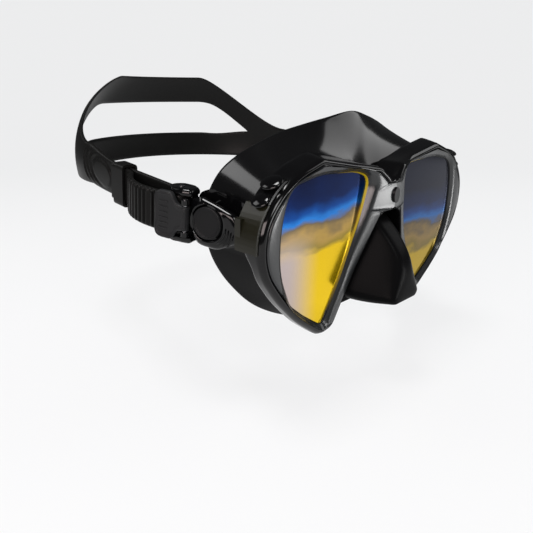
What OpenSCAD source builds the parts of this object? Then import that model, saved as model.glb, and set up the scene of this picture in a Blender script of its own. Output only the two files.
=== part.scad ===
// Two-lens diving mask with a silicone skirt, swivelling strap buckles and a split head strap.
// Millimetres. +Z is up, the lenses face -Y, the wearer is on the +Y side, +X is the wearer's left.
// The origin is the middle of the face opening, level with the two buckle swivels front to back.

/* [Front frame] */
// Depth of the frame from its front edge to its back face
frame_depth = 11.4; // [10:0.2:14]
// How much shallower the frame is below the buckles
low_step = 4.6; // [0:0.2:5]
// Front edge of the frame, ahead of the origin
frame_front = 35.4; // [34:0.2:38]
// Backward lean of the whole front towards its lower edge, in degrees
front_lean = 2; // [0:0.5:4]
// Width of the frame's rim outside the bezel
rim_w = 1.2; // [0.8:0.1:2]
// Depth of the bezel plate in front of the lenses
bezel_t = 2.8; // [2:0.1:3.5]
// Thickness of each tempered lens
lens_t = 3.5; // [3:0.1:4]
// Lip of lens hidden behind the bezel
lens_lip = 1.5; // [1:0.1:2]

/* [Skirt] */
// Wall thickness of the skirt
skirt_t = 2; // [1.5:0.1:3]
// Half width of the skirt where it leaves the frame
skirt_half_w = 74.5; // [72:0.5:75]

/* [Buckle] */
// Distance of each swivel from the middle plane
swivel_x = 86; // [85:0.5:88]
// Height of the swivel axis above the origin
swivel_z = 5; // [3:0.5:7]
// Outward turn of each buckle towards the back, in degrees
buckle_yaw = 18; // [14:1:20]
// Upward tilt of the worn strap at the buckle, in degrees
strap_rise = 7; // [4:1:9]
// Radius of the swivel post
post_r = 2.4; // [2:0.1:3]
// Radius of the strap roller
roller_r = 2.5; // [2.2:0.1:2.8]
// Distance of the roller behind the swivel
roller_y = 17.5; // [17:0.5:19]
// Radius of the roller and lever pins
pin_r = 1.2; // [1:0.05:1.3]
// Radial running clearance of every pin and post
run_gap = 0.05; // [0.03:0.01:0.1]

/* [Strap] */
// Width of the ribbed strap at the buckle
strap_w = 19; // [17:0.5:19.5]
// Thickness of the strap
strap_t = 2.2; // [1.8:0.1:2.4]
// Half width of the head at the strap's widest turn
head_a = 81; // [78:0.5:84]
// Length of the turn around the back of the head
head_b = 75; // [70:1:80]
// Where the strap starts to turn around the head
head_y = 107; // [104:1:112]

/* [Hidden] */

frame_back = -frame_front + frame_depth;
low_back = frame_back - low_step;
bezel_front = -frame_front - 0.6;
bezel_back = bezel_front + bezel_t;
lens_front = bezel_back;
lens_back = lens_front + lens_t;

// Right half of the front outline as [x, z, corner radius], from the bridge notch round to the nose arch
outline_half = [
  [0, 19.6, 3], [9.5, 27.4, 4], [51, 34.8, 9], [67, 29.8, 40], [79, 21.8, 40], [87, 10.5, 60],
  [88.6, -2, 60], [85.6, -13, 80], [76, -26, 90], [62, -40, 90], [46, -51.6, 10], [37.5, -50, 6],
  [25.5, -30, 90], [17, -14, 60], [8, 5, 16], [0, 5.7, 9]
];
// Right lens opening as [x, z, corner radius]
lens_outline = [
  [13.8, 22.2, 7], [24, 25.6, 40], [50, 27, 60], [70, 23.6, 12], [74.8, 8, 60], [74.8, -12, 60],
  [67, -29.5, 12], [57, -37.5, 60], [43.6, -46.4, 3], [31, -23.5, 90], [18.5, 4.5, 90]
];

// Face edge of the skirt, left half, as [x, y, z], from the forehead down to the upper lip
face_edge = [
  [0, -13, 51.4], [18, -10.5, 48.4], [31, -7, 45.6], [44, -3, 42.2], [56, 1, 37], [63, 7, 31.5],
  [68, 13, 24], [71, 18, 13], [72, 20, 0], [71.5, 18, -13], [69.5, 14, -23], [66, 8, -32],
  [60, 0, -41], [50, -8, -47], [38, -14, -50], [25, -19, -49], [12, -23, -46], [0, -25, -44]
];
// The same stations where the skirt leaves the frame, as [x, z]
frame_edge = [
  [0, 17], [14, 24], [30, 28], [45, 30], [57, 28], [66, 23], [71, 16.5], [skirt_half_w - 0.5, 8],
  [skirt_half_w, 0], [skirt_half_w - 1, -9], [70, -18], [64, -26.5], [56, -34], [48, -40],
  [42, -43], [30, -43.5], [15, -43], [0, -42]
];
// Nose pocket sections from the frame to the tip: [y, top z, bottom z, half width at top, at bottom]
nose_rings = [
  [-23, 4.4, -40, 6, 25], [-32, 0, -42, 6.4, 22], [-40, -5, -42.5, 6, 19], [-47, -12, -42, 5.5, 16],
  [-51.5, -20, -40.5, 5, 12]
];

// ---- helpers ----

function unit(v) = v / norm(v);
function mix(a, b, t) = a + (b - a) * t;
function back_y(z) = mix(frame_back, low_back, min(1, max(0, (2 - z) / 12)));

// Closed loop from its right half
function mirrored(half) =
  concat(half, [for (i = [len(half) - 2 : -1 : 1]) [-half[i][0], half[i][1], half[i][2]]]);

// Points of one corner at b, rounded to radius r between its neighbours a and c
function corner(a, b, c, r, n = 6) =
  let (
    u = unit(a - b),
    v = unit(c - b),
    half = acos(max(-1, min(1, u * v))) / 2,
    reach = min(r / tan(half), 0.48 * min(norm(a - b), norm(c - b))),
    start = b + u * reach,
    end = b + v * reach
  )
  [for (i = [0 : n]) let (t = i / n) pow(1 - t, 2) * start + 2 * t * (1 - t) * b + pow(t, 2) * end];

function flat(p) = [p[0], p[1]];
function rounded(pts) = [
  for (i = [0 : len(pts) - 1])
    each corner(
      flat(pts[(i + len(pts) - 1) % len(pts)]), flat(pts[i]), flat(pts[(i + 1) % len(pts)]), pts[i][2]
    )
];

// Catmull-Rom point between b and c
function blend(a, b, c, d, t) =
  0.5 * (2 * b + (c - a) * t + (2 * a - 5 * b + 4 * c - d) * t * t + (3 * b - a - 3 * c + d) * t * t * t);

// Closed smooth ring through pts, with n steps between neighbours
function smooth_ring(pts, n) =
  let (m = len(pts))
  [for (i = [0 : m - 1], k = [0 : n - 1])
    blend(pts[(i + m - 1) % m], pts[i], pts[(i + 1) % m], pts[(i + 2) % m], k / n)];

// Closed tube wall between a stack of outer rings and the matching inner rings
module ring_shell(outer, inner) {
  m = len(outer[0]);
  k = len(outer);
  points = concat([for (r = outer) each r], [for (r = inner) each r]);
  base = m * k;
  function id(layer, ring, i) = layer * base + ring * m + i % m;
  faces = concat(
    [for (r = [0 : k - 2], i = [0 : m - 1])
      [id(0, r, i), id(0, r + 1, i), id(0, r + 1, i + 1), id(0, r, i + 1)]],
    [for (r = [0 : k - 2], i = [0 : m - 1])
      [id(1, r, i), id(1, r, i + 1), id(1, r + 1, i + 1), id(1, r + 1, i)]],
    [for (i = [0 : m - 1]) [id(0, 0, i), id(0, 0, i + 1), id(1, 0, i + 1), id(1, 0, i)]],
    [for (i = [0 : m - 1])
      [id(0, k - 1, i), id(1, k - 1, i), id(1, k - 1, i + 1), id(0, k - 1, i + 1)]]
  );
  polyhedron(points = points, faces = faces, convexity = 8);
}

// Stack of rings closed at both ends into one solid
module ring_solid(rings) {
  m = len(rings[0]);
  k = len(rings);
  faces = concat(
    [for (r = [0 : k - 2], i = [0 : m - 1])
      [r * m + i, r * m + (i + 1) % m, (r + 1) * m + (i + 1) % m, (r + 1) * m + i]],
    [[for (i = [m - 1 : -1 : 0]) i]],
    [[for (i = [0 : m - 1]) (k - 1) * m + i]]
  );
  polyhedron(points = [for (r = rings) each r], faces = faces, convexity = 6);
}

// Extrudes a front-view (x, z) drawing from y0 back to y1
module front_slab(y0, y1) {
  translate([0, y1, 0]) rotate([90, 0, 0]) linear_extrude(y1 - y0, convexity = 6) children();
}

// Leans the front assembly about its lower lens line
module lean() {
  rotate([front_lean, 0, 0]) children();
}

// Parts drawn for the wearer's right side, or mirrored to the left
module side(s) {
  if (s < 0) children();
  else mirror([1, 0, 0]) children();
}

module at_swivel() {
  translate([-swivel_x, 0, swivel_z]) children();
}

// Fixed half of the buckle: outward is -X, backward is +Y
module at_buckle() {
  at_swivel() rotate([0, 0, buckle_yaw]) children();
}

// Swinging half of the buckle, tilted up with the worn strap
module at_arm() {
  at_swivel() rotate([strap_rise, 0, 0]) rotate([0, 0, buckle_yaw]) children();
}

module x_rod(r, x0, x1) {
  translate([x0, 0, 0]) rotate([0, 90, 0]) cylinder(r = r, h = x1 - x0, $fn = 48);
}

module box(lo, hi) {
  translate(lo) cube(hi - lo);
}

// ---- front frame ----

module outline() { polygon(rounded(mirrored(outline_half))); }
module lens_opening() { polygon(rounded(lens_outline)); }
module both() {
  children();
  mirror([1, 0]) children();
}

// Plan of the front: flat over the lenses and pushed forward over the nose bridge
module bridge_plan(front, back, bump) {
  linear_extrude(160, center = true) polygon([
    [-95, back], [-95, front], [-24, front], [-10, front - bump * 0.72], [-3, front - bump],
    [3, front - bump], [10, front - bump * 0.72], [24, front], [95, front], [95, back]
  ]);
}

module main_frame() {
  color("#17181a") lean() difference() {
    intersection() {
      front_slab(-60, 10) outline();
      bridge_plan(-frame_front, frame_back, 4);
    }
    intersection() {
      front_slab(-60, 10) offset(delta = -rim_w) outline();
      bridge_plan(-60, bezel_back, 0);
      bridge_plan(-60, bezel_back, 4.5);
    }
    front_slab(-60, lens_back) both() offset(delta = lens_lip + 0.1) lens_opening();
    front_slab(-60, 10) both() offset(delta = -1) lens_opening();
    rotate([90, 0, 90]) linear_extrude(200, center = true)
      polygon([
        [frame_back + 1, 2], [frame_back, 2], [low_back, -10], [low_back, -60], [frame_back + 1, -60]
      ]);
  }
}

module front_bezel() {
  color("#2b3033") lean() difference() {
    intersection() {
      front_slab(-60, 10) offset(delta = -rim_w - 0.1) outline();
      bridge_plan(bezel_front, bezel_back, 5.5);
    }
    front_slab(-60, 10) both() lens_opening();
    badge_seat(0.1);
  }
}

module badge_seat(gap) {
  translate([0, bezel_front - 5, 13]) rotate([90, 0, 0])
    linear_extrude(3, center = true) scale([1, 1.6]) circle(r = 2.4 + gap, $fn = 40);
}

module bridge_badge() {
  color("#050506") lean() badge_seat(0);
}

module lens(s) {
  color([0.16, 0.22, 0.42, 0.6]) lean() side(s) mirror([1, 0, 0])
    front_slab(lens_front, lens_back) offset(delta = lens_lip) lens_opening();
}

// Thin shoe that hugs the frame's outer side between two heights
module side_band(proud, z0, z1, y0, y1) {
  lean() intersection() {
    front_slab(y0, y1) difference() {
      offset(delta = proud) outline();
      outline();
    }
    box([-100, -60, z0], [-60, 20, z1]);
  }
}

module corner_clip(s) {
  color("#1c1d1f") side(s) side_band(1.4, 18.6, 27, -33.5, frame_back);
}

// ---- skirt ----

function outward(p) = unit([p[0], 0, p[2] - 2]);

skirt_front = mirrored([for (p = frame_edge)
  [p[0], back_y(p[1] + 1) - p[1] * sin(front_lean) + 0.1, p[1]]]);
skirt_face = mirrored(face_edge);
skirt_rings = [
  for (t = [0, 0.3, 0.65, 1]) let (belly = 0.3 * sin(180 * t))
    smooth_ring([for (i = [0 : len(skirt_face) - 1])
      let (p = skirt_face[i])
      mix(skirt_front[i], p, t) + belly * abs(p[0]) / 72 * outward(p)], 2)
];

function nose_ring(r, inset) =
  let (top = r[1] - inset, low = r[2] + inset, wt = max(1, r[3] - inset), wb = r[4] - inset)
  [for (p = [[wt, top], [-wt, top], [-wb, low + 5], [-wb + 5, low], [wb - 5, low], [wb, low + 5]])
    [p[0], r[0] + (inset > 0 && r[0] < -50 ? inset : 0), p[1]]];

module skirt_wall() {
  ring_shell(skirt_rings, [for (r = skirt_rings) [for (p = r) p - skirt_t * outward(p)]]);
}

module skirt() {
  color("#0c0c0d") skirt_wall();
}

// Nose pocket and the web around it, moulded with the skirt and meeting its wall face to face
module nose_pocket() {
  last = len(nose_rings) - 1;
  color("#0c0c0d") difference() {
    union() {
      ring_solid([for (i = [last : -1 : 0]) nose_ring(nose_rings[i], 0)]);
      front_slab(frame_back + 0.1, frame_back + 2.1) polygon([
        [-12, 16.4], [12, 16.4], [12, 4], [22, -16], [40, -41.2], [-40, -41.2], [-22, -16], [-12, 4]
      ]);
    }
    ring_solid([
      for (i = [last : -1 : 0])
        let (r = nose_rings[i])
        nose_ring([i == 0 ? r[0] + 6 : r[0], r[1], r[2], r[3], r[4]], skirt_t)
    ]);
    skirt_wall();
  }
}

// ---- fixed half of the buckle ----

// Side views as [y, z, corner radius], with the swivel at the origin
housing_outline = [
  [9, 9.6, 8], [4, 11.7, 8], [-14, 4.6, 5], [-16.6, -1, 4], [-14.8, -8, 5], [-4, -12.2, 9], [9, -10.2, 8]
];
backplate_outline = [
  [9.4, 11.6, 8], [2.8, 13.8, 8], [-17, 9, 3], [-18.4, -4, 4], [-13, -11, 5], [-4, -13.4, 9], [9.4, -11.4, 8]
];

module side_slab(outline) {
  rotate([90, 0, 90]) linear_extrude(40, center = true) polygon(rounded(outline));
}

module plan_slab(points) {
  linear_extrude(60, center = true) polygon(points);
}

mount_pin_at = [1.9, -18.6];

module buckle_housing(s) {
  color("#101113") side(s) difference() {
    at_buckle() union() {
      intersection() {
        side_slab(housing_outline);
        box([0.6, -20, -20], [3, 14, 20]);
      }
      box([0.8, -20.6, -3.2], [3.6, -10, 3.2]);
    }
    at_buckle() x_rod(7.6, -5, 0.95);
    at_swivel() x_rod(6.2, 3.6, 12);
    at_swivel() x_rod(post_r, -1, 12);
    at_buckle() translate(mount_pin_at) cylinder(r = pin_r, h = 40, center = true, $fn = 32);
  }
}

module buckle_backplate(s) {
  color("#6a6d70") side(s) difference() {
    at_buckle() intersection() {
      side_slab(backplate_outline);
      plan_slab([
        [8.1, 14], [9.4, 14], [9.4, -5], [6.6, -14.4], [5.7, -18.6], [4.6, -18.6], [5.3, -14.4], [8.1, -5.2]
      ]);
    }
    at_swivel() x_rod(post_r, -1, 14);
  }
}

module swivel_post(s) {
  color("#8d9094") side(s) at_swivel() x_rod(post_r, 3.2, 9.6);
}

module pivot_cap(s) {
  color("#1f2022") side(s) at_buckle() {
    difference() {
      x_rod(7.4, -0.7, 0.85);
      x_rod(6.4, -2, -0.3);
    }
    x_rod(6, -0.55, 0);
  }
}

module side_bracket(s) {
  color("#33342c") side(s) {
    side_band(1.2, -1.5, 18.2, -33.5, frame_back + 3);
    difference() {
      union() {
        lean() box([-89, frame_back, -0.5], [-78, frame_back + 3.4, 12]);
        at_buckle() for (z = [[-6.2, -3.4], [3.4, 6.2]])
          translate([mount_pin_at[0], mount_pin_at[1], z[0]]) {
            cylinder(r = 2.4, h = z[1] - z[0], $fn = 40);
            box([-2.4, -5.5, 0], [2.4, 0, z[1] - z[0]]);
          }
      }
      at_buckle() translate(mount_pin_at) cylinder(r = pin_r, h = 40, center = true, $fn = 32);
    }
  }
}

module mount_pin(s) {
  color("#9a9da1") side(s) at_buckle() translate(mount_pin_at)
    cylinder(r = pin_r, h = 13.4, center = true, $fn = 32);
}

// ---- swinging half of the buckle ----

roller_x = 5.2;
cheek_in = strap_w / 2 + 0.6;
cheek_out = cheek_in + 2.3;
lever_pin_at = [-1.2, 11.2];

module z_rod(at, r, z0, z1, fn = 40) {
  translate([at[0], at[1], z0]) cylinder(r = r, h = z1 - z0, $fn = fn);
}

module buckle_arm(s) {
  color("#151618") side(s) difference() {
    union() {
      at_swivel() x_rod(5.6, 3.9, 6.5);
      at_arm() {
        box([5.2, 0, -4.5], [7.2, 11.9, 4.5]);
        box([5.2, 9.9, -cheek_out], [7.2, 11.9, cheek_out]);
        for (m = [0, 1]) mirror([0, 0, m]) {
          z_rod([roller_x, roller_y], 5.4, cheek_in, cheek_out);
          box([1.4, 10.8, cheek_in], [7.2, roller_y, cheek_out]);
          z_rod(lever_pin_at, 1.9, 6.3, 8.6);
          box([-1.2, 11.2, 6.3], [4, 12.4, 8.6]);
          box([3.9, 10.4, 6.3], [5.3, 12, 8.6]);
        }
      }
    }
    at_swivel() x_rod(post_r + run_gap, -1, 12);
    at_arm() z_rod([roller_x, roller_y], pin_r, -20, 20);
    at_arm() z_rod(lever_pin_at, pin_r, -20, 20);
  }
}

module roller_pin(s) {
  color("#9a9da1") side(s) at_arm() z_rod([roller_x, roller_y], pin_r, -cheek_out - 0.3, cheek_out + 0.3);
}

module strap_roller(s) {
  flutes = 10;
  color("#26282a") side(s) at_arm() translate([roller_x, roller_y, 0]) difference() {
    z_rod([0, 0], roller_r, -cheek_in + 0.3, cheek_in - 0.3);
    z_rod([0, 0], pin_r + run_gap, -20, 20);
    for (i = [1 : flutes]) rotate([0, 0, i * 360 / flutes]) z_rod([roller_r, 0], 0.35, -20, 20, 16);
  }
}

module lever_pin(s) {
  color("#9a9da1") side(s) at_arm() z_rod(lever_pin_at, pin_r, -8.8, 8.8);
}

module lever_spring(s) {
  wire_r = 0.24;
  coil_r = pin_r + 0.1 + wire_r;
  turns = 4;
  function wire(a) = [for (k = [0 : 7]) let (r = coil_r + wire_r * cos(45 * k))
    [r * cos(a), r * sin(a), 0.72 * (a / 360 - turns / 2) + wire_r * sin(45 * k)]];
  color("#b9bcc0") side(s) at_arm() translate([lever_pin_at[0], lever_pin_at[1], 0])
    ring_solid([for (a = [0 : 22.5 : 360 * turns]) wire(a)]);
}

// T-shaped tab: a neck at the pin and a wide cross bar over the strap
module release_lever(s) {
  plate_x = [-3.2, -1.1];
  color("#222426") side(s) at_arm() difference() {
    union() {
      translate([plate_x[0], 0, 0]) rotate([90, 0, 90]) linear_extrude(plate_x[1] - plate_x[0])
        polygon(rounded([
          [9.4, 5.6, 1], [15, 5.6, 5], [18, 10.9, 2], [26.6, 10.9, 4], [26.6, -10.9, 4],
          [18, -10.9, 2], [15, -5.6, 5], [9.4, -5.6, 1]
        ]));
      z_rod(lever_pin_at, 2, -5.6, 5.6);
      box([-1.2, 21.4, -8.5], [-0.85, 22.6, 8.5]);
    }
    z_rod(lever_pin_at, pin_r + run_gap, -20, 20);
    box([-4, lever_pin_at[1] - 2.4, -2.6], [4, lever_pin_at[1] + 2.4, 2.6]);
  }
}

// ---- strap ----

// Half of the strap's plan from the free tail end, round the roller and back along the head: [x, y]
yaw_dir = [-sin(buckle_yaw), cos(buckle_yaw)];
in_dir = [cos(buckle_yaw), sin(buckle_yaw)];
function plan_at(x, y) = [-swivel_x, 0] + in_dir * x + yaw_dir * y;
fold_r = roller_r + 0.4 + strap_t / 2;
inner_x = -head_a - strap_t / 2;
tail_plan = [
  [inner_x - strap_t - 0.3, 80], [inner_x - strap_t - 0.3, 73], [inner_x - strap_t - 0.3, 66],
  [inner_x - strap_t - 1.5, 60.5], [-89.8, 54.5], [-93.6, 46.5], [-94.8, 37]
];
tail_under_lever = [for (y = [26.5, 22]) plan_at(roller_x - fold_r, y)];
fold_plan = [for (a = [0 : 22.5 : 180])
  plan_at(roller_x - fold_r * cos(a), roller_y - fold_r * sin(a))];
side_plan = [for (y = [30, 45, 60, 75, 88, 98]) [inner_x, y]];
back_steps = 16;
turn_plan = [for (i = [0 : back_steps]) let (a = 90 * i / back_steps)
  [inner_x * cos(a), head_y + head_b * sin(a)]];
half_plan = concat(tail_plan, tail_under_lever, fold_plan, side_plan, turn_plan);
turn_start = len(half_plan) - back_steps - 1;

// Height of the strap's middle, and its half width, along the half plan
function rise(y) = swivel_z + y * tan(strap_rise) + 0.0035 * pow(max(0, y - 80), 2);
function turn(i) = max(0, i - turn_start) / back_steps;
function ease(t) = t * t * (3 - 2 * t);
function spread(y) = ease(min(1, max(0, (y - 80) / 27)));
function low_edge(i, y) =
  mix(rise(min(y, head_y)) - strap_w / 2 - 1.4 * spread(y), 12, ease(turn(i)));
function high_edge(i, y) =
  mix(rise(min(y, head_y)) + strap_w / 2 + 2.4 * spread(y), 70, ease(min(1, turn(i) / 0.62)));

// The skull narrows with height
function skull(z) = sqrt(1 - pow((z - 20) / 68, 2));

row_at = [0, 0.15, 0.3, 0.7, 0.85, 1];
slot_from = turn_start + 6;

function plan_normal(i) =
  let (a = half_plan[max(0, i - 1)], b = half_plan[min(len(half_plan) - 1, i + 1)], d = unit(b - a))
  i == len(half_plan) - 1 ? [0, 1] : [-d[1], d[0]];

function strap_point(i, row, out) =
  let (
    p = half_plan[i],
    n = plan_normal(i),
    back = i > turn_start - 7 ? ease(min(1, max(0, (p[1] - 60) / 47))) : 0,
    z = mix(low_edge(i, p[1]), high_edge(i, p[1]), row_at[row]),
    mid = (low_edge(i, p[1]) + high_edge(i, p[1])) / 2,
    k = mix(1, skull(z), back),
    lean_y = -(z - mid) * tan(strap_rise) * (1 - back),
    off = out * strap_t / 2
  )
  [(p[0]) * k + n[0] * off, head_y + (p[1] - head_y) * (p[1] > head_y ? k : 1) + n[1] * off + lean_y, z];

columns = 2 * len(half_plan) - 1;
function column_point(c, row, out) =
  c < len(half_plan) ? strap_point(c, row, out)
  : let (p = strap_point(columns - 1 - c, row, out)) [-p[0], p[1], p[2]];
function half_index(c) = min(c, columns - 2 - c);
function solid_cell(c, r) =
  c >= 0 && c < columns - 1 && r >= 0 && r < 5 && !(r == 2 && half_index(c) >= slot_from);

module head_strap() {
  rows = 6;
  function id(out, c, r) = (out * columns + c) * rows + r;
  points = [for (out = [0, 1], c = [0 : columns - 1], r = [0 : rows - 1]) column_point(c, r, 1 - 2 * out)];
  cells = [for (c = [0 : columns - 2], r = [0 : rows - 2]) if (solid_cell(c, r)) [c, r]];
  faces = concat(
    [for (q = cells) let (c = q[0], r = q[1])
      [id(1, c, r), id(1, c, r + 1), id(1, c + 1, r + 1), id(1, c + 1, r)]],
    [for (q = cells) let (c = q[0], r = q[1])
      [id(0, c, r), id(0, c + 1, r), id(0, c + 1, r + 1), id(0, c, r + 1)]],
    [for (q = cells) let (c = q[0], r = q[1]) if (!solid_cell(c, r - 1))
      [id(0, c, r), id(1, c, r), id(1, c + 1, r), id(0, c + 1, r)]],
    [for (q = cells) let (c = q[0], r = q[1]) if (!solid_cell(c, r + 1))
      [id(0, c, r + 1), id(0, c + 1, r + 1), id(1, c + 1, r + 1), id(1, c, r + 1)]],
    [for (q = cells) let (c = q[0], r = q[1]) if (!solid_cell(c - 1, r))
      [id(0, c, r), id(0, c, r + 1), id(1, c, r + 1), id(1, c, r)]],
    [for (q = cells) let (c = q[0], r = q[1]) if (!solid_cell(c + 1, r))
      [id(0, c + 1, r), id(1, c + 1, r), id(1, c + 1, r + 1), id(0, c + 1, r + 1)]]
  );
  color("#1a1b1a") polyhedron(points = points, faces = faces, convexity = 12);
}

module strap_keeper(s) {
  keeper_y = 66.8;
  keeper_l = 9;
  inner_half = strap_w / 2 + 0.4;
  lo_x = inner_x - 3 * strap_t / 2 - 0.7;
  hi_x = inner_x + strap_t / 2 + 1.2;
  wall = 1.4;
  color("#1d1f20") side(s) at_swivel() rotate([strap_rise, 0, 0]) translate([swivel_x, 0, 0]) difference() {
    translate([0, keeper_y, 0]) rotate([-90, 0, 0]) linear_extrude(keeper_l)
      polygon(rounded([
        [lo_x - wall, inner_half + wall, 2.5], [hi_x + wall, inner_half + wall, 2.5],
        [hi_x + wall, -inner_half - wall, 2.5], [lo_x - wall, -inner_half - wall, 2.5]
      ]));
    box([lo_x, keeper_y - 1, -inner_half], [hi_x, keeper_y + keeper_l + 1, inner_half]);
  }
}

skirt();
nose_pocket();
main_frame();
front_bezel();
lens(-1);  // lens_right
lens(1);  // lens_left
bridge_badge();
corner_clip(-1);  // corner_clip_right
corner_clip(1);  // corner_clip_left
side_bracket(-1);  // side_bracket_right
side_bracket(1);  // side_bracket_left
mount_pin(-1);  // mount_pin_right
mount_pin(1);  // mount_pin_left
buckle_backplate(-1);  // buckle_backplate_right
buckle_backplate(1);  // buckle_backplate_left
buckle_housing(-1);  // buckle_housing_right
buckle_housing(1);  // buckle_housing_left
swivel_post(-1);  // swivel_post_right
swivel_post(1);  // swivel_post_left
pivot_cap(-1);  // pivot_cap_right
pivot_cap(1);  // pivot_cap_left
buckle_arm(-1);  // buckle_arm_right
buckle_arm(1);  // buckle_arm_left
roller_pin(-1);  // roller_pin_right
roller_pin(1);  // roller_pin_left
strap_roller(-1);  // strap_roller_right
strap_roller(1);  // strap_roller_left
lever_pin(-1);  // lever_pin_right
lever_pin(1);  // lever_pin_left
lever_spring(-1);  // lever_spring_right
lever_spring(1);  // lever_spring_left
release_lever(-1);  // release_lever_right
release_lever(1);  // release_lever_left
head_strap();
strap_keeper(-1);  // strap_keeper_right
strap_keeper(1);  // strap_keeper_left
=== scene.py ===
import bpy, bmesh, math
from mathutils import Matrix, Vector


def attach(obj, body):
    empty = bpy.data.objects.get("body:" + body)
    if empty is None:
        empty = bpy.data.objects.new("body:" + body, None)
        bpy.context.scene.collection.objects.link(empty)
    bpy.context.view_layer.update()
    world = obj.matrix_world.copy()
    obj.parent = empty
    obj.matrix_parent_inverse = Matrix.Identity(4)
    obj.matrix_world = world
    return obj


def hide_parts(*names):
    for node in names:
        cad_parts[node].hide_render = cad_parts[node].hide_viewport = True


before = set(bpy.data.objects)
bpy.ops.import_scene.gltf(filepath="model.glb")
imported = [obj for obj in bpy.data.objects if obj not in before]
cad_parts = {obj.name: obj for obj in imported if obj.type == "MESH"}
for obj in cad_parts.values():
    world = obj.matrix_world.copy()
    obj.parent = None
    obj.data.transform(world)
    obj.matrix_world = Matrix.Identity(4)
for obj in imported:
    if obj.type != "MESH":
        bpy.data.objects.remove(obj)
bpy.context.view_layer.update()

# Shapes are in millimetres in the row's axes: +Z up, lenses face -Y, and x < 0 is the wearer's right.
MM = 0.001
ROOT, SWING = "mask_body", "strap_swing"
SIDES = (("right", -1), ("left", 1))
LEAN = math.radians(2)  # of the front frame, top forward
YAW = math.radians(18)  # of a buckle, seen from above
RISE = math.radians(7)  # of the strap and the buckle arms, seen from the side
SWIVEL_X, SWIVEL_Z = 86.0, 5.0

# ---------------------------------------------------------------- camera
cam_data = bpy.data.cameras.new("cam")
cam = bpy.data.objects.new("cam", cam_data)
bpy.context.scene.collection.objects.link(cam)
bpy.context.scene.camera = cam
cam_data.sensor_width = 36
cam_data.lens = 35.8
cam_data.clip_start = 0.01
cam.location = (-0.2315, -0.1777, 0.0603)
look = Vector((0.681, 0.662, -0.314)).normalized()
cam.rotation_mode = "QUATERNION"
cam.rotation_quaternion = look.to_track_quat("-Z", "Y")
bpy.context.scene.view_settings.view_transform = "Standard"


# ---------------------------------------------------------------- materials
def material(name, color, rough, spec=0.5, metal=0.0, bump=0.0, bump_scale=900, bump_dist=0.0002):
    """Plain surface; bump gives it a fine grain."""
    m = bpy.data.materials.new(name)
    m.use_nodes = True
    nodes, links = m.node_tree.nodes, m.node_tree.links
    surface = nodes["Principled BSDF"]
    surface.inputs["Base Color"].default_value = (*color, 1)
    surface.inputs["Roughness"].default_value = rough
    surface.inputs["Specular IOR Level"].default_value = spec
    surface.inputs["Metallic"].default_value = metal
    if bump:
        grain = nodes.new("ShaderNodeTexNoise")
        grain.inputs["Scale"].default_value = bump_scale
        grain.inputs["Detail"].default_value = 3
        relief_node = nodes.new("ShaderNodeBump")
        relief_node.inputs["Strength"].default_value = bump
        relief_node.inputs["Distance"].default_value = bump_dist
        place = nodes.new("ShaderNodeTexCoord")
        links.new(place.outputs["Object"], grain.inputs["Vector"])
        links.new(grain.outputs["Fac"], relief_node.inputs["Height"])
        links.new(relief_node.outputs["Normal"], surface.inputs["Normal"])
    return m


def place_in(mat):
    """Sockets with the shaded point's x, y and z, in metres."""
    nodes, links = mat.node_tree.nodes, mat.node_tree.links
    place = nodes.new("ShaderNodeTexCoord")
    split = nodes.new("ShaderNodeSeparateXYZ")
    links.new(place.outputs["Object"], split.inputs["Vector"])
    return split.outputs["X"], split.outputs["Y"], split.outputs["Z"]


def math_in(mat, operation, *values):
    """Output of a math node whose inputs are sockets or numbers."""
    nodes, links = mat.node_tree.nodes, mat.node_tree.links
    node = nodes.new("ShaderNodeMath")
    node.operation = operation
    for socket, value in zip(node.inputs, values):
        if hasattr(value, "links"):
            links.new(value, socket)
        else:
            socket.default_value = value
    return node.outputs[0]


def ramp_in(mat, fac, stops):
    """Colour that changes with fac; stops are (position, colour)."""
    nodes, links = mat.node_tree.nodes, mat.node_tree.links
    ramp = nodes.new("ShaderNodeValToRGB")
    elements = ramp.color_ramp.elements
    ends = (elements[0], elements[1])
    for element, (position, color) in zip(ends, (stops[0], stops[-1])):
        element.position = position
        element.color = (*color, 1)
    for position, color in stops[1:-1]:
        elements.new(position).color = (*color, 1)
    links.new(fac, ramp.inputs["Fac"])
    return ramp.outputs["Color"]


def by_height(mat, socket, low, high, z0, z1):
    """Let a shader value run from low under height z0 to high over z1."""
    nodes, links = mat.node_tree.nodes, mat.node_tree.links
    span = nodes.new("ShaderNodeMapRange")
    links.new(place_in(mat)[2], span.inputs["Value"])
    span.inputs["From Min"].default_value = z0
    span.inputs["From Max"].default_value = z1
    span.inputs["To Min"].default_value = low
    span.inputs["To Max"].default_value = high
    links.new(span.outputs["Result"], nodes["Principled BSDF"].inputs[socket])


def silicone_material():
    """Glossy over the brow and satin on the cheeks, as the skirt is moulded."""
    m = material("silicone", (0.0025, 0.0025, 0.0027), 0.16, spec=0.32,
                 bump=0.05, bump_scale=60, bump_dist=0.0006)
    by_height(m, "Roughness", 0.5, 0.13, -0.012, 0.012)
    by_height(m, "Specular IOR Level", 0.06, 0.4, -0.012, 0.012)
    return m


def lip_painted_reflection_material():
    """The lip round each lens carries a painted reflection of the lens coating's yellow beside the bridge."""
    m = material("bezel_lip", (0.004, 0.0045, 0.005), 0.3, spec=0.14)
    from_middle = math_in(m, "ABSOLUTE", place_in(m)[0])
    # painted reflection: yellow near the bridge, fading out to the lip's own near-black
    color = ramp_in(m, math_in(m, "MULTIPLY", from_middle, 10),
                    [(0.17, (0.36, 0.25, 0.002)), (0.4, (0.004, 0.0045, 0.005))])
    m.node_tree.links.new(color, m.node_tree.nodes["Principled BSDF"].inputs["Base Color"])
    return m


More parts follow.
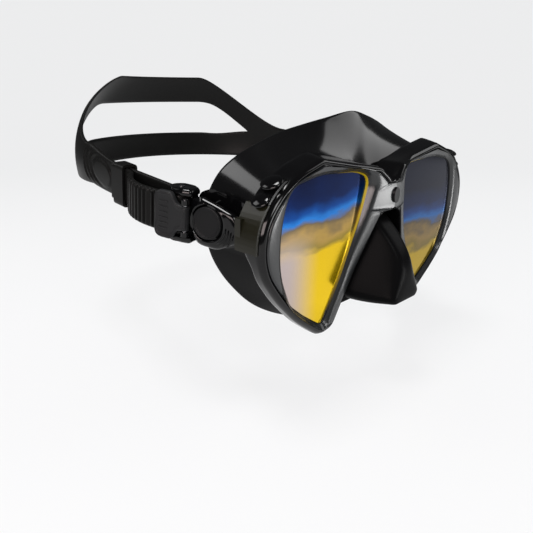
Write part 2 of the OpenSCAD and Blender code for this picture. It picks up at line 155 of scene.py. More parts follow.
LENS_STOPS = [
    (0.0, (0.7, 0.46, 0.0)), (0.25, (0.84, 0.56, 0.004)), (0.5, (0.76, 0.5, 0.006)),
    (0.55, (0.3, 0.21, 0.03)), (0.6, (0.42, 0.27, 0.07)), (0.65, (0.16, 0.12, 0.07)),
    (0.69, (0.02, 0.19, 0.6)), (0.75, (0.004, 0.06, 0.28)), (0.83, (0.002, 0.014, 0.08)),
    (1.0, (0.001, 0.003, 0.02)),
]  # from the yellow foot of the lens to its dark blue top


def lens_material():
    """Mirror coating: colours by height, bent by noise that paints reflections of clouds and trees; a painted
    pale reflection makes the right lens's lower outer corner paler, and painted shade darkens the left lens.
    """
    m = material("lens_coat", (0.2, 0.3, 0.6), 0.12, spec=0.3, metal=0.9)
    nodes, links = m.node_tree.nodes, m.node_tree.links
    x, _, z = place_in(m)
    place = nodes.new("ShaderNodeTexCoord")
    stretched = nodes.new("ShaderNodeVectorMath")
    stretched.operation = "MULTIPLY"
    stretched.inputs[1].default_value = (0.6, 1.0, 1.25)
    links.new(place.outputs["Object"], stretched.inputs[0])

    def smooth_between(value, start, end):
        span = nodes.new("ShaderNodeMapRange")
        span.interpolation_type = "SMOOTHSTEP"
        links.new(value, span.inputs["Value"])
        span.inputs["From Min"].default_value = start
        span.inputs["From Max"].default_value = end
        return span.outputs["Result"]

    def painted_reflection_noise(scale, detail):
        node = nodes.new("ShaderNodeTexNoise")
        node.inputs["Scale"].default_value = scale
        node.inputs["Detail"].default_value = detail
        links.new(stretched.outputs["Vector"], node.inputs["Vector"])
        return node.outputs["Fac"]

    def mixed_color(fac, a, color):
        node = nodes.new("ShaderNodeMix")
        node.data_type = "RGBA"
        links.new(fac, node.inputs["Factor"])
        links.new(a, node.inputs[6])
        node.inputs[7].default_value = (*color, 1)
        return node.outputs[2]

    left_lens = smooth_between(x, -0.005, 0.005)
    height = math_in(m, "MULTIPLY_ADD", z, 11.5, 0.4)
    # the noise terms bend the bands as painted reflections of clouds and trees; the left lens's shift towards
    # dark blue is painted shade
    for value, share in ((x, -0.9), (left_lens, 0.3), (painted_reflection_noise(38, 0.0), 0.24), (painted_reflection_noise(120, 2.0), 0.12)):
        height = math_in(m, "MULTIPLY_ADD", value, share, height)
    color = ramp_in(m, height, LENS_STOPS)
    # painted reflection: paler at the right lens's lower outer corner
    corner = math_in(m, "MULTIPLY", smooth_between(x, -0.046, -0.07), smooth_between(z, 0.006, -0.012))
    color = mixed_color(corner, color, (0.5, 0.42, 0.4))
    # painted shade: the left lens is darkened by half
    color = mixed_color(math_in(m, "MULTIPLY", left_lens, 0.5), color, (0.006, 0.008, 0.015))
    links.new(color, nodes["Principled BSDF"].inputs["Base Color"])
    return m


M_SKIRT = silicone_material()
M_NOSE = material("nose_silicone", (0.002, 0.002, 0.0022), 0.34, spec=0.025)
M_FRAME = material("frame_gloss", (0.0018, 0.0018, 0.002), 0.1, spec=0.3)
M_BEZEL = material("bezel_satin", (0.008, 0.009, 0.0098), 0.27, spec=0.6, bump=0.05)
M_LIP_PAINTED_REFLECTION = lip_painted_reflection_material()
M_LENS = lens_material()
M_BLACK = material("gloss_black", (0.0014, 0.0014, 0.0016), 0.1, spec=0.3)
M_MATTE = material("matte_black", (0.0045, 0.0046, 0.005), 0.5, spec=0.15, bump=0.1)
M_LEVER = material("lever", (0.009, 0.0092, 0.0098), 0.45, spec=0.18, bump=0.1)
# the bracket's olive tint is a painted reflection of something yellowish on its near-black semi-gloss surface
M_BRACKET_PAINTED_OLIVE = material("bracket", (0.007, 0.0066, 0.0035), 0.3, spec=0.22)
M_STEEL = material("steel", (0.3, 0.3, 0.31), 0.3, metal=1.0)
M_STRAP = material("strap", (0.0038, 0.0038, 0.0036), 0.38, spec=0.12, bump=0.08, bump_scale=500)
M_BADGE = material("badge", (0.002, 0.002, 0.0025), 0.2, spec=0.4)


# ---------------------------------------------------------------- mesh helpers
def smoothstep(t):
    t = max(0.0, min(1.0, t))
    return t * t * (3 - 2 * t)


def lerp(a, b, t):
    return a + (b - a) * t


def make(name, verts, faces, mat, body, slot, weld=0.0, sub=0, sharp=35):
    """A piece from points in mm that rides a body; sub is its subdivision, sharp its crease angle."""
    mesh = bpy.data.meshes.new(name)
    mesh.from_pydata([Vector(v) * MM for v in verts], [], faces)
    bm = bmesh.new()
    bm.from_mesh(mesh)
    if weld:
        bmesh.ops.remove_doubles(bm, verts=bm.verts, dist=weld * MM)
    bmesh.ops.dissolve_degenerate(bm, edges=bm.edges, dist=1e-7)
    bmesh.ops.recalc_face_normals(bm, faces=bm.faces)
    bm.to_mesh(mesh)
    bm.free()
    mesh.materials.append(mat)
    o = bpy.data.objects.new(name, mesh)
    bpy.context.scene.collection.objects.link(o)
    for face in mesh.polygons:
        face.use_smooth = True
    if sub:
        mod = o.modifiers.new("sub", "SUBSURF")
        mod.levels = mod.render_levels = sub
    else:
        mesh.set_sharp_from_angle(angle=math.radians(sharp))
    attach(o, body)
    return o


def loft(rings, cap0=False, cap1=False, loop=False):
    """Skin over closed rings of equal length; caps close the first and last, loop joins them."""
    m = len(rings[0])
    k = len(rings)
    verts = [p for ring in rings for p in ring]
    faces = []
    for r in range(k if loop else k - 1):
        this, following = r * m, ((r + 1) % k) * m
        for i in range(m):
            j = (i + 1) % m
            faces.append((this + i, this + j, following + j, following + i))
    if cap0:
        faces.append(tuple(range(m)))
    if cap1:
        faces.append(tuple((k - 1) * m + i for i in range(m)))
    return verts, faces


def mirror_pts(pts):
    return [(-p[0],) + tuple(p[1:]) for p in pts]


def rounded(corners, n=8):
    """Closed 2-D outline of (u, v, corner radius) with n steps round each corner."""
    out = []
    k = len(corners)
    for i in range(k):
        a, b, c = (Vector(corners[(i + j) % k][:2]) for j in (-1, 0, 1))
        back, ahead = a - b, c - b
        room = 0.49 * min(back.length, ahead.length)
        back.normalize()
        ahead.normalize()
        half_angle = math.acos(max(-1, min(1, back.dot(ahead)))) / 2
        cut = min(corners[i][2] / math.tan(half_angle), room)
        start, end = b + back * cut, b + ahead * cut
        for j in range(n + 1):
            t = j / n
            out.append(tuple((1 - t) ** 2 * start + 2 * t * (1 - t) * b + t * t * end))
    return out


def resample(pts, step, closed=True):
    """The same line with points about step apart."""
    pts = [Vector(p) for p in pts]
    if closed:
        pts = pts + [pts[0]]
    length = [0.0]
    for a, b in zip(pts, pts[1:]):
        length.append(length[-1] + (b - a).length)
    n = max(3, round(length[-1] / step))
    out = []
    j = 0
    for i in range(n if closed else n + 1):
        d = length[-1] * i / n
        while j < len(length) - 2 and length[j + 1] < d:
            j += 1
        t = (d - length[j]) / max(1e-9, length[j + 1] - length[j])
        out.append(pts[j].lerp(pts[j + 1], min(1, t)))
    return out


def curve_point(a, b, c, d, t):
    """Catmull-Rom point at share t of the way from b to c."""
    square, cube = 2 * a - 5 * b + 4 * c - d, 3 * b - a - 3 * c + d
    return 0.5 * (2 * b + (c - a) * t + square * t * t + cube * t ** 3)


def closed_spline(points, n):
    """Smooth closed curve through the points, n steps from each to the next."""
    c = [Vector(p) for p in points]
    k = len(c)
    return [curve_point(c[i - 1], c[i], c[(i + 1) % k], c[(i + 2) % k], s / n)
            for i in range(k) for s in range(n)]


def distance_to(loop, start, direction):
    """Distance from start along a direction to the nearest crossing of a closed 2-D loop."""
    best = math.inf
    for a, b in zip(loop, loop[1:] + loop[:1]):
        edge, away = b - a, a - start
        slant = direction.x * edge.y - direction.y * edge.x
        if abs(slant) < 1e-12:
            continue
        along = (away.x * edge.y - away.y * edge.x) / slant
        share = (away.x * direction.y - away.y * direction.x) / slant
        if along > 0 and -1e-6 <= share <= 1 + 1e-6:
            best = min(best, along)
    return best


def leaned(p):
    """A point of the front frame, leaned with it."""
    c, s = math.cos(LEAN), math.sin(LEAN)
    return (p[0], p[1] * c - p[2] * s, p[1] * s + p[2] * c)


def round_ring(radius, n):
    """Circle of n points about the origin."""
    return [Vector((math.cos(2 * math.pi * i / n), math.sin(2 * math.pi * i / n))) * radius for i in range(n)]


def tube(path, radius, n=8):
    """Round bar along a path; radius may be a function of the share of the path."""
    path = [Vector(p) for p in path]
    last = len(path) - 1
    rings = []
    across = None
    for i, p in enumerate(path):
        d = (path[min(i + 1, last)] - path[max(i - 1, 0)]).normalized()
        across = (d.orthogonal() if across is None else across - d * across.dot(d)).normalized()
        up = d.cross(across)
        r = radius(i / last) if callable(radius) else radius
        rings.append([p + across * q.x + up * q.y for q in round_ring(r, n)])
    return loft(rings, cap0=True, cap1=True)


def dome(centre, out, radii, n=20, m=8):
    """Half ellipsoid on its flat side; radii are along out, along y and across both."""
    y_axis = Vector((0, 1, 0))
    across = out.cross(y_axis).normalized()
    rings = []
    for i in range(m + 1):
        a = math.pi / 2 * i / m
        foot = Vector(centre) + out * radii[0] * math.sin(a)
        rings.append([foot + y_axis * radii[1] * q.x + across * radii[2] * q.y
                      for q in round_ring(math.cos(a), n)])
    return loft(rings, cap0=True, cap1=True)


# ---------------------------------------------------------------- front frame and bezel
OUTLINE = [
    (0, 19.6, 3), (9.5, 27.4, 4), (51, 34.8, 9), (67, 29.8, 40), (79, 21.8, 40), (87, 10.5, 60),
    (88.6, -2, 60), (85.6, -13, 80), (76, -26, 90), (62, -40, 90), (46, -51.6, 10), (37.5, -50, 6),
    (25.5, -30, 90), (17, -14, 60), (8, 5, 16), (0, 5.7, 9),
]  # of the frame's left half as (x, z, corner radius), from the notch over the top to the nose arch
OPENING = [
    (13.8, 22.2, 7), (24, 25.6, 40), (50, 27, 60), (70, 23.6, 12), (74.8, 8, 60), (74.8, -12, 60),
    (67, -29.5, 12), (57, -37.5, 60), (43.6, -46.4, 3), (31, -23.5, 90), (18.5, 4.5, 90),
]  # of the left lens
EYE = Vector((40, 8))  # a point inside both outlines
FRONT_Y, RIDGE = -36.0, 5.6  # the bezel's face, and how far it stands out at the bridge
UPPER_BACK_Y, LOWER_BACK_Y = -24.0, -28.6  # back of the frame above and below the buckles


def frame_edge():
    """Points along the left half's outline, 1.3 mm apart, from the notch round to the nose arch."""
    mirrored = [(-x, z, r) for x, z, r in reversed(OUTLINE[1:-1])]
    half = [Vector(p) for p in rounded(OUTLINE + mirrored) if p[0] >= -1e-6]
    notch = max(range(len(half)), key=lambda i: (half[i].x < 0.3) * (half[i].y + 100))
    half = half[notch:] + half[:notch]
    half[0].x = 0
    pts = resample(half, 1.3, closed=False)
    pts[-1].x = 0
    return pts


def inward_normals(loop):
    out = []
    for i, p in enumerate(loop):
        d = loop[(i + 1) % len(loop)] - loop[i - 1]
        n = Vector((-d.y, d.x))
        if n.length < 1e-9:
            n = EYE - p
        n.normalize()
        out.append(-n if n.dot(EYE - p) < 0 else n)
    return out


outer = frame_edge()
middle = [Vector((0, lerp(outer[-1].y, outer[0].y, i / 10))) for i in range(1, 10)]
EDGE = outer + middle
IS_OUTER = [True] * len(outer) + [False] * len(middle)
opening_loop = [Vector(p) for p in rounded(OPENING)]
OPENING_EDGE = []
for p in EDGE:
    ray = (p - EYE).normalized()
    OPENING_EDGE.append(EYE + ray * distance_to(opening_loop, EYE, ray))
EDGE_IN, OPENING_IN = inward_normals(EDGE), inward_normals(OPENING_EDGE)


def step_towards(a, b, normal, dist):
    """The point dist, square to the edge, from edge point a on the way to b."""
    d = b - a
    room = d.length * 0.48
    d.normalize()
    return a + d * min(room, dist / max(0.55, d.dot(normal)))


def from_edge(dist, y_at):
    """Ring dist inside the frame's outline; dist may be a function of (x, z)."""
    ring = []
    for p, q, normal, is_outer in zip(EDGE, OPENING_EDGE, EDGE_IN, IS_OUTER):
        d = (dist(p.x, p.y) if callable(dist) else dist) if is_outer else 0
        v = step_towards(p, q, normal, d) if d > 0 else p + normal * d
        ring.append(leaned((v.x, y_at(v.x, v.y, is_outer), v.y)))
    return ring


def from_opening(dist, y_at):
    """Ring dist outside the lens opening."""
    ring = []
    for p, q, normal, is_outer in zip(EDGE, OPENING_EDGE, OPENING_IN, IS_OUTER):
        outwards = -normal if normal.dot(p - q) < 0 else normal
        v = step_towards(q, p, outwards, dist) if dist > 0 else q
        ring.append(leaned((v.x, y_at(v.x, v.y, is_outer), v.y)))
    return ring


def both_sides(name, rings, mat, body, slot, **kw):
    v, f = loft(rings)
    n = len(v)
    v2 = v + mirror_pts(v)
    f2 = f + [tuple(n + i for i in reversed(q)) for q in f]
    return make(name, v2, f2, mat, body, slot, weld=0.02, **kw)


def ridge(x):
    """How far the face stands out beside the bridge."""
    return RIDGE * (1 - smoothstep((abs(x) - 1) / 26)) ** 1.1


def back_y(z):
    return lerp(UPPER_BACK_Y, LOWER_BACK_Y, smoothstep((2 - z) / 12))


def behind_face(depth):
    return lambda x, z, is_outer: FRONT_Y - ridge(x) + depth


def lens_seat(y, ridge_share):
    return lambda x, z, is_outer: y - ridge_share * ridge(x)


def frame_wall(y_of):
    """Depth y_of(x, z) along the outline; the middle plane's stretch stays inside the bridge."""
    return lambda x, z, is_outer: y_of(x, z) if is_outer else -27.0


def back_to_front(share):
    return frame_wall(lambda x, z: lerp(back_y(z), FRONT_Y - ridge(x) + 1.6, share))


def flared(dist, flare):
    """dist, less the flare of the frame's upper edge towards its back."""
    over_brow = lambda x, z: smoothstep((z - 14) / 10) * smoothstep((x - 14) / 20) * smoothstep((90 - x) / 12)
    return lambda x, z: dist - flare * over_brow(x, z)


def slim(dist):
    """dist, cut down where the rim is thin beside the nose."""
    return lambda x, z: dist * (1 - 0.62 * smoothstep((9 - z) / 6) * smoothstep((41 - x) / 6))


def front_frame():
    back = frame_wall(lambda x, z: back_y(z) - ridge(x) * 0.2)
    frame_rings = [
        from_edge(6.0, back), from_edge(2.0, back), from_edge(flared(0.5, 1.5), back),
        from_edge(flared(0, 1.6), frame_wall(lambda x, z: back_y(z) - 0.5)),
    ]
    frame_rings += [from_edge(flared(0, flare), back_to_front(share))
                    for flare, share in ((1.4, 0.2), (0.5, 0.62), (0.2, 0.72))]
    frame_rings += [from_edge(0.05, back_to_front(0.86)), from_edge(slim(0.45), back_to_front(0.97))]
    frame_rings += [from_edge(slim(dist), behind_face(depth))
                    for dist, depth in ((1.1, 0.75), (1.9, 0.35), (2.6, 0.45), (3.0, 1.0), (3.1, 2.6))]
    main_vis = both_sides("frame_shell", frame_rings, M_FRAME, ROOT, "frame_black", sharp=60)
    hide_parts("main_frame")


def bezel():
    seam = from_opening(0.6, lens_seat(-33.9, 0.18))
    shell_rings = [from_edge(slim(dist), behind_face(depth))
                   for dist, depth in ((3.3, 2.6), (3.35, 0.7), (3.7, 0.15), (4.4, 0.0))]
    shell_rings += [from_opening(dist, behind_face(depth))
                    for dist, depth in ((3.6, 0.2), (2.4, 0.4), (1.5, 1.0))]
    shell_rings += [from_opening(0.9, lens_seat(-34.2, 0.34)), seam]
    lip_rings = [seam] + [from_opening(dist, lens_seat(y, share))
                          for dist, y, share in ((0.2, -33.6, 0.05), (0.0, -33.0, 0), (0.0, -31.5, 0))]
    bezel_vis = both_sides("bezel_shell", shell_rings, M_BEZEL, ROOT, "bezel_charcoal", sharp=60)
    both_sides("bezel_lip", lip_rings, M_LIP_PAINTED_REFLECTION, ROOT, "bezel_charcoal", sharp=60)
    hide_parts("front_bezel")


front_frame()
bezel()

# ---------------------------------------------------------------- silicone skirt
FACE = [
    (0, -13, 51.4), (18, -10.5, 48.4), (31, -7, 45.6), (44, -3, 42.2), (56, 1, 37), (63, 7, 31.5),
    (68, 13, 24), (71, 18, 13), (72, 20, 0), (71.5, 18, -13), (69.5, 14, -23), (66, 8, -32), (60, 0, -41),
    (50, -8, -47), (38, -14, -50), (25, -19, -49), (12, -23, -46), (0, -25, -44),
]  # left half of the rolled edge that meets the face, from the brow down
ROOT_EDGE = [
    (0, 17), (14, 24), (30, 28), (45, 30), (57, 28), (66, 23), (71, 16.5), (74, 8), (74.5, 0),
    (73.5, -9), (70, -18), (64, -26.5), (56, -34), (48, -40), (42, -43), (30, -43.5), (15, -43), (0, -42),
]  # left half of the edge (x, z) that the frame holds
FACE_HALF_W = 72
BELLY = 0.3


def whole(half):
    return half + mirror_pts(list(reversed(half[1:-1])))


root_line = [(x, back_y(z) - z * math.sin(LEAN) + 0.1, z) for x, z in ROOT_EDGE]
ROOT_CURVE, FACE_CURVE = closed_spline(whole(root_line), 5), closed_spline(whole(FACE), 5)


def skirt_ring(share, off=0.0, dy=0.0):
    """Ring at a share of the way to the face, off outwards and dy back; see frontward."""
    ring = []
    for a, b in zip(ROOT_CURVE, FACE_CURVE):
        n = Vector((b[0], 0, b[2] - 2)).normalized()
        belly = BELLY * math.sin(math.pi * share) * abs(b[0]) / FACE_HALF_W
        p = a.lerp(b, share) + n * (belly + off)
        # an inner ring that moves forward would come through the wall where the wall itself faces forward
        frontward = smoothstep(((b - a).normalized().dot(n) - 0.25) / 0.6)
        ring.append(p + Vector((0, lerp(dy, 2.4, frontward) if dy < 0 else dy, 0)))
    return ring


def skirt_wall():
    outside = [skirt_ring(share) for share in (0.0, 0.12, 0.3, 0.5, 0.7, 0.86)]
    edge = [skirt_ring(0.96, 0.1), skirt_ring(1.0, 0.0, 0.2), skirt_ring(1.0, -1.2, 0.7),
            skirt_ring(1.0, -3.5, 0.2)]
    face_flange = [skirt_ring(1.0, off, dy)
                   for off, dy in ((-7, -1.2), (-11, -3.4), (-11.4, -4.4), (-7, -3.0), (-4.0, -2.6))]
    inside = [skirt_ring(0.9, -3.0, -1.4), skirt_ring(0.7, -2.6), skirt_ring(0.4, -2.4),
              skirt_ring(0.0, -2.2)]
    v, f = loft(outside + edge + face_flange + inside)
    skirt_vis = make("skirt_wall", v, f, M_SKIRT, ROOT, "silicone_black", sub=1, weld=0.01)
    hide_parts("skirt")


NOSE = [
    (-24, 6, -41, 6, 26), (-28, 4.5, -42, 6.5, 24.5), (-33, 1, -42.6, 6.6, 22), (-39, -4, -42.8, 6.2, 19),
    (-44, -9.5, -42.6, 5.6, 16.6), (-48, -14.5, -42.2, 5, 14.6), (-50.8, -19, -42, 4.2, 13.6),
    (-52.4, -24, -41.7, 3.2, 12.6), (-53.1, -28, -40.8, 2.2, 10.6),
]  # sections as (y, top z, bottom z, half width at the top, half width at the bottom)
NOSE_T = 2.0
TIP_Y = -50  # in front of this the wall is thicker


def nose_ring(y, top, low, half_top, half_low, inset=0.0):
    top, low = top - inset, low + inset
    half_top, half_low = max(0.8, half_top - inset * 0.8), half_low - inset
    corner = max(1.0, half_low * 0.2)
    right = [(half_top, top, 5), (half_low * 0.97, low + corner, corner * 1.6),
             (half_low - corner * 1.2, low, corner)]
    left = [(-x, z, r) for x, z, r in reversed(right)]
    return [Vector((x, y, z)) for x, z in rounded(right + left, 5)]


def nose_pocket():
    outside = [nose_ring(*section) for section in NOSE]
    inside = [nose_ring(y + (1.8 if y < TIP_Y else 0), *rest, NOSE_T) for y, *rest in NOSE[:-1]]
    tip = sum(outside[-1], Vector()) / len(outside[-1])
    cap = [p.lerp(tip, 0.55) + Vector((0, -0.15, 0)) for p in outside[-1]]
    v, f = loft([cap] + outside[::-1] + inside, cap0=True)
    nose_vis = make("nose_wall", v, f, M_NOSE, ROOT, "silicone_black", sub=1, weld=0.01)
    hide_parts("nose_pocket")


WEB = [(-13, 18.5, 3), (13, 18.5, 3), (10, 4, 6), (20, -16, 30), (34, -44.5, 4), (-34, -44.5, 4),
       (-20, -16, 30), (-10, 4, 6)]  # outline of the web between the two lenses
WEB_MIDDLE_Z = -22


def by_angle(loop, n=90):
    """n points of a closed loop at equal angles about the web's middle."""
    pts = sorted(((math.atan2(p[1] - WEB_MIDDLE_Z, p[0]), p) for p in loop), key=lambda q: q[0])
    out = []
    for i in range(n):
        a = -math.pi + 2 * math.pi * i / n
        j = next((k for k, q in enumerate(pts) if q[0] > a), 0)
        (a0, p0), (a1, p1) = pts[j - 1], pts[j]
        span = max(1e-6, (a1 - a0) % (2 * math.pi))
        out.append(Vector(p0).lerp(Vector(p1), ((a - a0) % (2 * math.pi)) / span))
    return out


def nose_web():
    rim = by_angle(resample(rounded(WEB), 2.0))
    hole = by_angle(resample([(p[0], p[2]) for p in nose_ring(*NOSE[0], 1.5)], 2.0))
    rings = [[(p.x, y + (back_y(p.y) - UPPER_BACK_Y) * 0.6, p.y) for p in loop]
             for loop, y in ((rim, -23.9), (rim, -22.2), (hole, -22.2), (hole, -23.9))]
    v, f = loft(rings, loop=True)
    make("nose_web", v, f, M_SKIRT, ROOT, "silicone_black")


skirt_wall()
nose_pocket()
nose_web()


# ---------------------------------------------------------------- buckles
# Buckle space has its origin at the swivel, x towards the head, y to the back and z up.
HOUSING = [(9, 9.6, 8), (4, 11.7, 8), (-14, 4.6, 5), (-16.6, -1, 4), (-14.8, -8, 5), (-4, -12.2, 9),
           (9, -10.2, 8)]  # side view as (y, z, corner radius)
ROUND_N = 96
ROLLER_X, ROLLER_Y, ROLLER_R = 5.2, 17.5, 2.5
KNUCKLE_X, KNUCKLE_Y, KNUCKLE_R = -1.2, 11.2, 2.0
ARM_DOWN, ARM_UP = -28, 42  # degrees from the housing's y at the ends of the swing


def from_buckle(x, y, z):
    """Row place of a point of the right buckle's fixed half."""
    c, s = math.cos(YAW), math.sin(YAW)
    return (x * c - y * s - SWIVEL_X, x * s + y * c, z + SWIVEL_Z)


def from_arm(x, y, z):
    """Row place of a point of the right buckle's arm, which rises with the strap."""
    fixed_x, level_y, _ = from_buckle(x, y, 0)
    c, s = math.cos(RISE), math.sin(RISE)
    return (fixed_x, level_y * c - z * s, level_y * s + z * c + SWIVEL_Z)


def placed(pts, to_row, s):
    out = [to_row(*p) for p in pts]
    return out if s < 0 else mirror_pts(out)


def at_depth(loop, x):
    return [(x, p[0], p[1]) for p in loop]


def shrunk(loop, d):
    return [p * max(0.0, (p.length - d) / p.length) for p in loop]


def mixed(a, b, share):
    return [p.lerp(q, share) for p, q in zip(a, b)]


def cleared(x, loop):
    """The loop at depth x, cut back where the lever's knuckle passes as the arm swings."""
    if abs(x - KNUCKLE_X) >= KNUCKLE_R + 0.1:
        return at_depth(loop, x)
    near = KNUCKLE_Y - 0.25 - math.sqrt(max(0.0, KNUCKLE_R ** 2 - (x - KNUCKLE_X) ** 2))
    knuckle_end = 32  # degrees past the end of the swing
    out = []
    for p in loop:
        angle = math.degrees(math.atan2(p.y, p.x))
        past = max(0.0, angle - ARM_UP, ARM_DOWN - angle)
        r = near / math.cos(math.radians(min(past, knuckle_end))) + 0.15 * max(0.0, past - knuckle_end)
        out.append(p * min(1.0, r / p.length))
    return at_depth(out, x)


def housing(side, s):
    """Egg-shaped cover with a round well for the disc, and four fine arcs on its front."""
    outline = [Vector(p) for p in rounded(HOUSING)]
    egg = [q * distance_to(outline, Vector((0, 0)), q) for q in round_ring(1, ROUND_N)]
    top = shrunk(egg, 2.2)
    rings = [at_depth(shrunk(egg, 3), 3.0), at_depth(shrunk(egg, 0.3), 3.0)]
    rings += [at_depth(egg, x) for x in (2.6, 1.4, 0.95)]
    rings += [cleared(x, shrunk(egg, d)) for x, d in ((0.6, 0.15), (-0.2, 0.8), (-0.75, 1.9))]
    rings += [cleared(x, mixed(top, round_ring(r, ROUND_N), share))
              for x, r, share in ((-0.8, 8.9, 0.35), (-0.95, 8.8, 0.8))]
    rings += [at_depth(round_ring(r, ROUND_N), x)
              for r, x in ((8.6, -1.0), (8.2, -0.7), (7.9, 0.2), (7.8, 0.9))]
    v, f = loft([placed(r, from_buckle, s) for r in rings])
    o = make(f"housing_shell_{side}", v, f, M_BLACK, ROOT, "housing_black", sharp=50)
    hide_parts(f"buckle_housing_{side}")
    for j in range(4):
        r = 9.9 + 1.4 * j
        arc = [math.radians(a) for a in range(186 + 3 * j, 246 - 5 * j, 4)]
        path = placed([(-1.02, r * math.cos(a), r * math.sin(a)) for a in arc], from_buckle, s)
        v, f = tube(path, lambda share: 0.1 + 0.36 * math.sin(math.pi * share) ** 0.5)
        make(f"housing_ridge_{j}_{side}", v, f, M_BLACK, ROOT, "housing_black")


def pivot_disc(side, s):
    profile = [(7.4, 0.9), (7.4, -0.9), (7.15, -1.25), (6.6, -1.3), (6.3, -1.0), (6.15, -0.8),
               (5.6, -0.72), (2.5, -0.7), (0.3, -0.7)]  # (radius, x) with a raised border
    rings = [at_depth(round_ring(r, ROUND_N), x) for r, x in profile]
    v, f = loft([placed(r, from_buckle, s) for r in rings], cap1=True)
    o = make(f"pivot_disc_{side}", v, f, M_MATTE, ROOT, "cap_black", sharp=60)
    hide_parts(f"pivot_cap_{side}")


TAB = [(9.6, 5.9, 1.6), (14.6, 5.9, 5), (17.6, 11.2, 3), (26.9, 11.2, 4), (26.9, -11.2, 4),
       (17.6, -11.2, 3), (14.6, -5.9, 5), (9.6, -5.9, 1.6)]  # side view of the T as (y, z, corner radius)


def release_lever(side, s):
    """A T-shaped tab with a raised border and grip ribs, and the knuckle that it turns on."""
    outline = resample(rounded(TAB), 0.6)
    spine = [Vector((max(12.5, min(23.5, p.x)), 0 if p.x < 16 else p.y * 0.25)) for p in outline]

    def inset(d, x):
        return at_depth([p + (c - p).normalized() * d for p, c in zip(outline, spine)], x)

    rings = [at_depth(outline, -1.1), at_depth(outline, -2.4)]
    rings += [inset(d, x) for d, x in ((0.35, -3.0), (1.0, -3.3), (1.7, -3.25), (2.1, -2.95), (3.2, -2.9))]
    v, f = loft([placed(r, from_arm, s) for r in rings], cap0=True, cap1=True)
    o = make(f"lever_tab_{side}", v, f, M_LEVER, f"lever_{side}", "lever_charcoal", sharp=60)
    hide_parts(f"release_lever_{side}")
    for j in range(6):
        z = -6.25 + 2.5 * j
        rib = [(-2.95, 19.6, z), (-3.1, 20.4, z), (-3.1, 23.6, z), (-2.95, 24.4, z)]
        v, f = tube(placed(rib, from_arm, s), 0.3)
        make(f"lever_grip_{j}_{side}", v, f, M_LEVER, f"lever_{side}", "lever_charcoal")
    rings = [[(KNUCKLE_X + q.x, KNUCKLE_Y + q.y, z) for q in round_ring(KNUCKLE_R * share, 24)]
             for z, share in ((-5.7, 0.7), (-5.4, 1.0), (5.4, 1.0), (5.7, 0.7))]
    v, f = loft([placed(r, from_arm, s) for r in rings], cap0=True, cap1=True)
    make(f"lever_knuckle_{side}", v, f, M_LEVER, f"lever_{side}", "lever_charcoal", sharp=50)


CHEEK = [(0.6, 9.2, 2), (7.9, 9.2, 2), (10.9, 13.5, 4), (10.9, 20.5, 5), (5.2, 23.4, 5), (-0.5, 20.5, 5),
         (-0.5, 13.5, 4)]  # plan of the arm's rounded end plates as (x, y, corner radius)


def arm_cheeks(side, s):
    outline = resample(rounded(CHEEK), 0.7)
    centre = sum(outline, Vector((0, 0))) / len(outline)
    profile = [(2, 10.0), (0.1, 10.0), (0, 10.6), (0.1, 11.6), (0.8, 12.5), (2.0, 12.9), (2.6, 12.6),
               (4, 12.5)]  # (inset, height from the arm's middle)
    for end, up in (("top", 1), ("bottom", -1)):
        rings = []
        for inset, z in profile:
            pulled = [p + (centre - p).normalized() * inset for p in outline]
            rings.append(placed([(p.x, p.y, z * up) for p in pulled], from_arm, s))
        v, f = loft(rings, cap0=True, cap1=True)
        make(f"arm_cheek_{end}_{side}", v, f, M_BLACK, SWING, "arm_black", sharp=50)


# ---------------------------------------------------------------- corner clips
CLIP_Y = -29.0
CLIP_LOBES = [(76.2, 25.9, 58, (1.4, 5.4, 4.6)), (82.4, 19.4, 48, (1.1, 4.6, 3.8))]  # x, z, slope, radii


def clip_lobes(side, s):
    """Two smooth swellings on the outer face of the clip."""
    for k, (x, z, slope, radii) in enumerate(CLIP_LOBES):
        out = Vector((-math.cos(math.radians(slope)), 0, math.sin(math.radians(slope))))
        v, f = dome(Vector((-x, CLIP_Y, z)) + out * 0.6, out, radii)
        v = [leaned(p) for p in v]
        make(f"clip_lobe_{k}_{side}", v if s < 0 else mirror_pts(v), f, M_BLACK, ROOT, "clip_black")


for side, s in SIDES:
    housing(side, s)
    pivot_disc(side, s)
    release_lever(side, s)
for side, s in SIDES:
    arm_cheeks(side, s)
for side, s in SIDES:
    clip_lobes(side, s)

# ---------------------------------------------------------------- strap
BAND_X, BAND_T, BAND_W = -82.1, 2.2, 19.0  # where the right band's middle runs, its thickness and width
HEAD_Y, HEAD_B = 107, 75  # where the round back of the head starts, and its depth
TURN_N = 16
FOLD_R = ROLLER_R + 0.4 + BAND_T / 2
LAP_X = BAND_X - BAND_T - 0.3  # of the free tail where it lies on the band


def in_plan(x, y):
    return from_buckle(x, y, 0)[:2]


def quarter_turn(i):
    a = math.pi / 2 * i / TURN_N
    return (BAND_X * math.cos(a), HEAD_Y + HEAD_B * math.sin(a))


